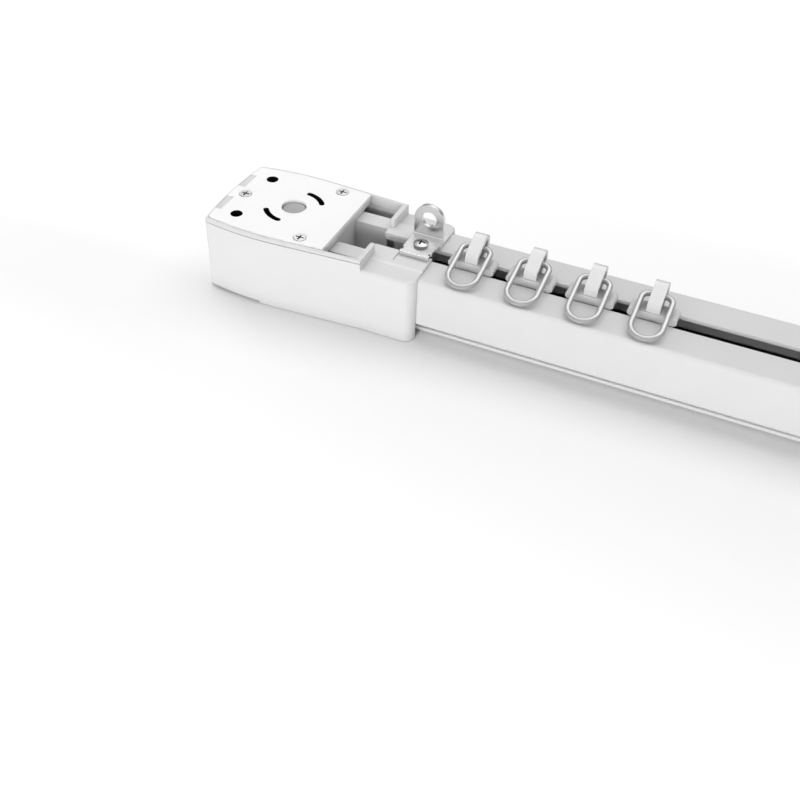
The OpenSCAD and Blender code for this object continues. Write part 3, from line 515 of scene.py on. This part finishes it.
def who_wears_what():
    """The key of the material that each CAD node wears."""
    worn = {
        "rail": "rail",
        "carrier_body": "clear",
        "belt_clamp": "clamp",
        "clamp_screws": "zinc",
        "overlap_arm": "arm",
        "arm_screws": "arm_screw",
        "end_hook": "hook",
        "end_hook_screw": "hook_screw",
        "end_hook_nut": "zinc",
        "drive_belt": "belt",
    }
    for end in ("drive", "return"):
        for part, key in (
            ("housing", "shell"),
            ("lid", "lid"),
            ("motor_plate", "plate"),
            ("plate_screws", "zinc"),
            ("pulley", "pulley"),
            ("socket_plug", "plug"),
            ("upper_bush", "bush"),
            ("lower_bush", "bush"),
        ):
            worn[end + "_" + part] = key
    for wheeled in ["carrier_front", "carrier_rear"] + RUNNERS:
        worn[wheeled + "_axle"] = "zinc"
        worn[wheeled + "_wheels"] = "wheel"
    for runner in RUNNERS:
        worn[runner + "_body"] = "runner"
        worn[runner + "_ring"] = "chrome"
    return worn


def dress(materials):
    for name, key in who_wears_what().items():
        slots = nodes[name].material_slots
        for slot in slots:
            slot.material = materials[key]
        if not slots:
            nodes[name].data.materials.append(materials[key])


# Pieces that are finer than the solids, in millimetres


def arc(centre, radius, start, end, steps):
    """Points of a circle from one angle to another, in degrees."""
    angles = [math.radians(start + (end - start) * i / steps) for i in range(steps + 1)]
    return [(centre[0] + radius * math.cos(a), centre[1] + radius * math.sin(a)) for a in angles]


def make_piece(name, b, body, material):
    """Closes the mesh being built and makes it a piece that moves with a body."""
    bmesh.ops.recalc_face_normals(b, faces=b.faces)
    mesh = bpy.data.meshes.new(name)
    b.to_mesh(mesh)
    b.free()
    mesh.materials.append(material)
    piece = bpy.data.objects.new(name, mesh)
    scene.collection.objects.link(piece)
    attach(piece, body)
    return piece


def loft(b, sections):
    """A closed ring through matching sections, each a list of points."""
    rings = [[b.verts.new([c * MM for c in point]) for point in section] for section in sections]
    for ring, following in zip(rings, rings[1:] + rings[:1]):
        for i in range(len(ring)):
            j = (i + 1) % len(ring)
            b.faces.new((ring[i], following[i], following[j], ring[j]))


# Painted shade in the holes of each motor plate: near-black liners on their walls

# Place of the pulley's axis, along the unit from its outer end
AXIS_X = 29.1
# Middle line of a bayonet slot, as its radius and end angles about the axis, and the slot's width
BAYONET_R = 11.0
BAYONET_FROM = 36
BAYONET_TO = 84
BAYONET_W = 2.2
# Place of a locating hole, along the unit and across it, and the hole's diameter
LOCATOR = (11.5, 14.3)
LOCATOR_D = 4.8
# Thickness of a liner of painted shade, its gap to the hole's wall, and the heights of its ends
SHADE_LINER_T = 0.14
SHADE_LINER_GAP = 0.01
SHADE_LINER_LOW = 27.7
SHADE_LINER_TOP = 31.44
# Steps of a slot's outer and inner side, and degrees from point to point round its ends and a hole
OUTER_STEPS = 12
INNER_STEPS = 10
END_DEGREES = 20
HOLE_DEGREES = 10


def bayonet_outline(inset):
    """Outline of one bayonet slot about the pulley's axis, that much inside the hole."""
    r = BAYONET_W / 2 - inset
    first_centre, last_centre = arc((0, 0), BAYONET_R, BAYONET_FROM, BAYONET_TO, 1)
    outer = arc((0, 0), BAYONET_R + r, BAYONET_FROM, BAYONET_TO, OUTER_STEPS)
    inner = arc((0, 0), BAYONET_R - r, BAYONET_TO, BAYONET_FROM, INNER_STEPS)
    steps = 180 // END_DEGREES - 2
    last = arc(
        last_centre, r, BAYONET_TO + END_DEGREES, BAYONET_TO + 180 - END_DEGREES, steps
    )
    first = arc(
        first_centre, r, BAYONET_FROM - 180 + END_DEGREES, BAYONET_FROM - END_DEGREES, steps
    )
    return outer + last + inner + first


def hole_shade_outlines(inset):
    """Outlines of the holes that get painted shade in one unit, in that unit's place."""
    outlines = []
    steps = 360 // HOLE_DEGREES - 1
    for side in (-1, 1):
        centre = (LOCATOR[0], side * LOCATOR[1])
        outlines.append(arc(centre, LOCATOR_D / 2 - inset, 0, 360 - HOLE_DEGREES, steps))
        outlines.append([(AXIS_X + side * x, side * y) for x, y in bayonet_outline(inset)])
    return outlines


def make_hole_shade_liners(material):
    """Lines the holes of both units with near-black liners: painted shade.
    The return unit is the drive unit turned half round.
    """
    half_length = (cad_hi[0] - cad_lo[0]) / MM / 2
    middle = (cad_hi[0] + cad_lo[0]) / MM / 2
    outsides = hole_shade_outlines(SHADE_LINER_GAP)
    insides = hole_shade_outlines(SHADE_LINER_GAP + SHADE_LINER_T)
    for end, facing in (("drive", 1), ("return", -1)):
        b = bmesh.new()
        for outside, inside in zip(outsides, insides):
            sections = []
            for points in zip(outside, inside):
                wide, tight = [
                    (middle + facing * (x - half_length), facing * y) for x, y in points
                ]
                sections.append(
                    [
                        (*wide, SHADE_LINER_LOW),
                        (*wide, SHADE_LINER_TOP),
                        (*tight, SHADE_LINER_TOP),
                        (*tight, SHADE_LINER_LOW),
                    ]
                )
            loft(b, sections)
        make_piece(end + "_hole_shade_liners", b, "track", material)


# Toothed belt

# Radii of the belt's faces round a pulley, its lower edge and its width
BELT_IN = 9.947
BELT_OUT = 11.147
BELT_LOW = 9.2
BELT_WIDTH = 7.0
# Distance of each pulley's axis from the middle of the track
PULLEY_X = 420.9
PULLEY_TEETH = 21
BELT_PITCH = 3.0
# Lengths of the belt round a pulley and along a straight run
BELT_TURN = PULLEY_TEETH * BELT_PITCH / 2
BELT_RUN = 2 * PULLEY_X
HALF_LOOP = BELT_TURN + BELT_RUN
# Grooves that the belt covers on a pulley, and how far the last one is from the straight run
COVERED_GROOVES = 10
GROOVE_LEAD = (BELT_TURN - (COVERED_GROOVES - 1) * BELT_PITCH) / 2
# Tooth steps from the last covered groove of one pulley to the first one of the other, and how
# many teeth are left out at each end, where they would touch the pulley's lands
RUN_STEPS = 282
LEFT_OUT = 2
# Steps of the plain part round a pulley
ARC_STEPS = 36
# Place along the belt from a tooth's middle, and the tooth's height there
TOOTH = [(-0.92, 0.0), (-0.78, 0.3), (-0.5, 0.58), (0.5, 0.58), (0.78, 0.3), (0.92, 0.0)]


def belt_section(s, tooth):
    """Points across the belt, a length s along it from where it first meets the drive pulley.

    Half the loop goes round that pulley and along the front. The other half is it turned round.
    """
    pitch_r = BELT_TURN / math.pi
    back = s >= HALF_LOOP
    if back:
        s -= HALF_LOOP
    angle = math.pi / 2 + min(s, BELT_TURN) / pitch_r
    along = max(s - BELT_TURN, 0.0)
    points = []
    for r, z in (
        (BELT_IN - tooth, BELT_LOW),
        (BELT_OUT, BELT_LOW),
        (BELT_OUT, BELT_LOW + BELT_WIDTH),
        (BELT_IN - tooth, BELT_LOW + BELT_WIDTH),
    ):
        x = -PULLEY_X + r * math.cos(angle) + along
        y = r * math.sin(angle)
        points.append((-x, -y, z) if back else (x, y, z))
    return points


def half_belt():
    """Lengths along half of the belt with the tooth's height at each: plain, then a toothed run."""
    step = (BELT_RUN + 2 * GROOVE_LEAD) / RUN_STEPS
    places = [(BELT_TURN * i / ARC_STEPS, 0.0) for i in range(ARC_STEPS + 1)]
    for k in range(LEFT_OUT, RUN_STEPS + 1 - LEFT_OUT):
        places += [(BELT_TURN - GROOVE_LEAD + step * k + s, height) for s, height in TOOTH]
    return places


def make_belt(material):
    b = bmesh.new()
    starts = (0.0, HALF_LOOP)
    loft(b, [belt_section(start + s, height) for start in starts for s, height in half_belt()])
    piece = make_piece("toothed_belt", b, "track", material)
    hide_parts("drive_belt")


make_camera()
make_world()
make_floor()
make_lights()
materials = make_materials()
dress(materials)
# Near-black liners in the plate holes, as painted shade
make_hole_shade_liners(materials["hole_shade"])
make_belt(materials["belt"])

scene.view_settings.view_transform = "Standard"
